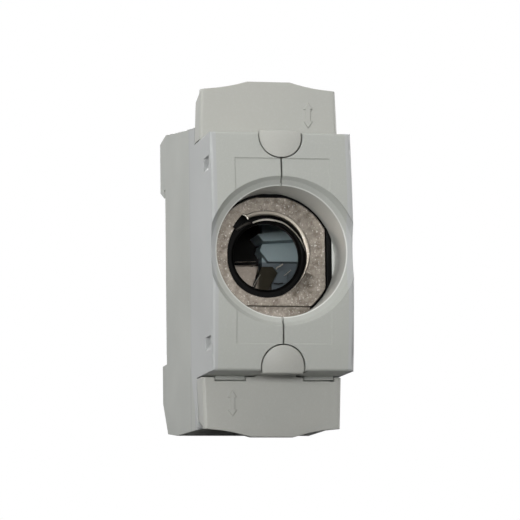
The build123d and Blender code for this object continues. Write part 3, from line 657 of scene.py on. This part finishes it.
def makeThreadPlate(s):
    # The plate and its drawn turn of thread, as one closed grid of angle by profile. The outline
    # at each angle is the nearest of a circle, two straight sides and two straight ends. The turn
    # stands out by lift at the notch and sinks evenly into the plate, clockwise, over liftAngle.
    # An S curve carries the plate's face up to it. In the notch the sheet ends early.
    notchEnd = s["notchStart"] + s["notchWidth"]
    edges = np.array([s["notchStart"] + s["notchMargin"], notchEnd - s["notchMargin"]])
    turn = np.linspace(s["notchStart"], notchEnd - 360, s["turnSteps"])
    gap = np.linspace(edges[1], edges[0], s["notchSteps"])
    degrees = np.concatenate([turn, gap])
    inNotch = np.concatenate([np.zeros(s["turnSteps"], bool), np.ones(s["notchSteps"], bool)])
    angle = np.radians(degrees)
    gone = s["notchStart"] - degrees
    lift = np.where(inNotch, 0, s["lift"] * np.clip(1 - gone / s["liftAngle"], 0, 1))
    across, up = np.cos(angle), np.sin(angle)
    cx, cz = s["centre"]
    # distance from the hole's middle to the outline's circle, sides and ends
    along = cx * across + cz * up
    toCircle = -along + np.sqrt(along**2 + s["outerRadius"]**2 - cx**2 - cz**2)
    least = 1e-6
    side = np.where(across > 0, s["halfWidth"] - cx, s["halfWidth"] + cx)
    toSide = side / np.maximum(np.abs(across), least)
    end = np.where(up > 0, s["topEdge"] - cz, cz - s["lowEdge"])
    toEnd = end / np.maximum(np.abs(up), least)
    outline = np.minimum(np.minimum(toCircle, toSide), toEnd)
    hole = np.interp(gone, s["stations"], s["holeRadius"])
    width = np.interp(gone, s["stations"], s["turnWidth"])
    rim = hole + width
    foot = rim + s["bendWidth"]
    top = rim - s["topSlope"] * width
    lip = np.minimum(s["lipReach"], width / 2)
    inner = np.where(inNotch, np.interp(degrees, edges, s["notchRadius"]), 0)
    front, back = s["front"], s["front"] + s["thickness"]
    sheet, edge = s["sheet"], s["edge"]
    middle = outline * 0.5 + foot * 0.5
    rows = [
        (outline, back - edge), (outline, front + edge), (outline - edge, front), (middle, front)]
    for t in np.linspace(0, 1, s["bendSteps"]):
        rows.append((foot + (top - foot) * t, front - lift * ease(t)))
    # the lip: half an ellipse round the sheet's edge
    for t in np.radians(np.linspace(*s["lipSweep"], s["lipSteps"])):
        rows.append((
            hole + lip * (1 - np.sin(t)), front - lift + sheet / 2 * (1 - np.cos(t))))
    for t in np.linspace(1, 0, s["returnSteps"]):
        rows.append((
            foot + (top - foot) * t,
            front + (sheet - lift) * ease(t) + s["thickness"] * (1 - ease(t))))
    rows += [(middle, back), (outline - edge, back)]
    radii = np.stack([np.maximum(radius, inner) for radius, depth in rows], axis=1)
    depths = np.stack([np.broadcast_to(depth, angle.shape) for radius, depth in rows], axis=1)
    points = np.stack([
        cx + radii * across[:, None], depths + frontFace, cz + radii * up[:, None]], axis=-1) * mm
    piece = gridMesh("threadPlate", points, nickelPlating)
    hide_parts("thread_plate")
    return piece


turnEnd = {
    "centre": threadPlate["centre"],
    "depth": 13.9,
    "halfDepth": 0.25,
    "degrees": (114, 110, 95, 80, 64, 46, 23, 8),
    "radius": (6.94, 6.96, 7.0, 6.98, 7.1, 7.0, 7.17, 7.4),
    "halfWidth": (0.16, 0.19, 0.22, 0.2, 0.14, 0.1, 0.1, 0.06),
    "steps": 90,
    "smoothed": 7,              # steps over which the stations are smoothed
    "sides": 16,
}
turnFoot = dict(
    turnEnd,
    depth=14.1,
    degrees=(141, 130, 121, 117),
    radius=(7.8, 7.55, 7.3, 7.1),
    halfWidth=(0.30, 0.36, 0.30, 0.15),
)


def makeTurnEnd(name, s, material):
    # The end of the turn, which runs on behind its start: an oval section carried along an arc
    # whose radius and width follow the stations, smoothed over a few steps.
    degrees = np.linspace(s["degrees"][0], s["degrees"][-1], s["steps"])
    stations = -np.array(s["degrees"])
    shares = np.ones(s["smoothed"]) / s["smoothed"]

    def smoothed(key):
        values = np.pad(
            np.interp(-degrees, stations, s[key]), s["smoothed"] // 2, mode="edge")
        return np.convolve(values, shares, mode="valid")[:, None]

    radius, halfWidth = smoothed("radius"), smoothed("halfWidth")
    angle = np.radians(degrees)[:, None]
    t = np.radians(np.linspace(0, 360, s["sides"], endpoint=False))[None, :]
    reach = radius + halfWidth * np.cos(t)
    depth = np.broadcast_to(s["depth"] + s["halfDepth"] * np.sin(t), reach.shape)
    cx, cz = s["centre"]
    points = np.stack([
        cx + reach * np.cos(angle), depth + frontFace, cz + reach * np.sin(angle)], axis=-1) * mm
    return gridMesh(name, points, material, closedRows=False)


roundBar = {
    "sides": 8,
    "tip": 0.02,                # of the radius, at both ends
    "sharpAngle": 50,
    "fixed": (0.31, 0.17, 0.93),
    "otherFixed": (0.93, 0.17, 0.31),   # for a path that starts steeper than steep
    "steep": 0.7,
}


def tube(name, path, radius, material, s=roundBar):
    # A round bar along a path of points, in mm with depths behind the front face: rings square to
    # the path, the first and last drawn nearly to a point. Each ring's two directions come from
    # the path and one fixed direction.
    path = np.array(path, float) + (0, frontFace, 0)
    along = np.gradient(path, axis=0)
    along /= np.linalg.norm(along, axis=1, keepdims=True)
    fixed = s["fixed"] if abs(along[0][2]) < s["steep"] else s["otherFixed"]
    first = np.cross(along, fixed)
    first /= np.linalg.norm(first, axis=1, keepdims=True)
    second = np.cross(along, first)
    path, first, second = (
        np.concatenate([values[:1], values, values[-1:]]) for values in (path, first, second))
    size = np.full((len(path), 1, 1), float(radius))
    size[[0, -1]] = radius * s["tip"]
    t = np.radians(np.linspace(0, 360, s["sides"], endpoint=False))[None, :, None]
    points = path[:, None] + size * (first[:, None] * np.cos(t) + second[:, None] * np.sin(t))
    return gridMesh(
        name, points * mm, material, closedRows=False, sharpAngle=s["sharpAngle"])


# the cut edge where the turn starts, drawn in pale metal as a painted highlight
notchEdge = {
    "path": [(-5.5, 12.0, 8.27), (-4.85, 11.7, 7.93), (-4.42, 11.7, 7.28)],
    "radius": 0.14,
}
platePieces = [
    makeThreadPlate(threadPlate),
    # the turn's end in pale metal as a painted highlight, its foot near black as painted shade
    makeTurnEnd("threadTurnEnd", turnEnd, paintedHighlightMetal),
    makeTurnEnd("threadTurnFoot", turnFoot, paintedShadeSteel),
    tube("notchEdge", notchEdge["path"], notchEdge["radius"], paintedHighlightMetal),
]
for piece in platePieces:
    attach(piece, "housing")
print("thread plate made")

# the contact's edges and the spring leaf's lines beside it, as seen down the well, those in pale
# metal
# being painted highlights: the path, the radius and the material of each
contactLines = {
    "contactUpperLine": ([(-2.06, 38.7, 2.39), (2.24, 38.7, 2.56)], 0.07, contactMetal),
    "contactLowerLine": ([(-1.89, 38.8, 1.71), (2.2, 38.8, 1.84)], 0.09, contactMetal),
    "contactSlitEdge": (
        [(3.1, 38.9, 0.0), (2.39, 38.9, -1.1), (1.45, 38.9, -2.76)], 0.07, paintedHighlightMetal),
    "contactHook": (
        [(6.15, 38.2, 1.02), (6.41, 38.2, 1.39), (6.97, 38.2, 1.64), (7.53, 38.2, 2.07)], 0.15,
        paintedHighlightMetal),
    "contactSpringLine": (
        [(7.71, 38.0, -0.28), (8.46, 38.0, 0.28), (9.15, 38.0, 0.88)], 0.07, paintedHighlightMetal),
    "contactFootLine": (
        [(5.72, 38.4, -1.84), (6.71, 38.4, -1.89), (7.58, 38.4, -1.7)], 0.1, contactMetal),
}
for name, (path, radius, material) in contactLines.items():
    piece = tube(name, path, radius, material)
    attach(piece, "housing")
print("contact lines made")

# the thread on each terminal screw: a ridge along a helix, half sunk in the shank
screwThread = {
    "turns": 9.2,
    "pitch": 0.8,
    "start": 22.2,              # depth of its front end
    "radius": 1.66,
    "ridge": 0.34,
    "height": 26.2,             # of the axis above or below the middle
    "stepsPerTurn": 24,
}


def helix(s, side):
    # points round an axis along the depth, one turn per pitch, on the upper or lower screw
    turn = np.linspace(0, 2 * np.pi * s["turns"], int(s["stepsPerTurn"] * s["turns"]))
    return np.stack([
        s["radius"] * np.cos(turn), s["start"] + s["pitch"] * turn / (2 * np.pi),
        side * s["height"] + s["radius"] * np.sin(turn)], axis=1)


for side, body in ((1, "upper_screw"), (-1, "lower_screw")):
    piece = tube(body + "Thread", helix(screwThread, side), screwThread["ridge"], screwPlating)
    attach(piece, body)
print("screw threads made")
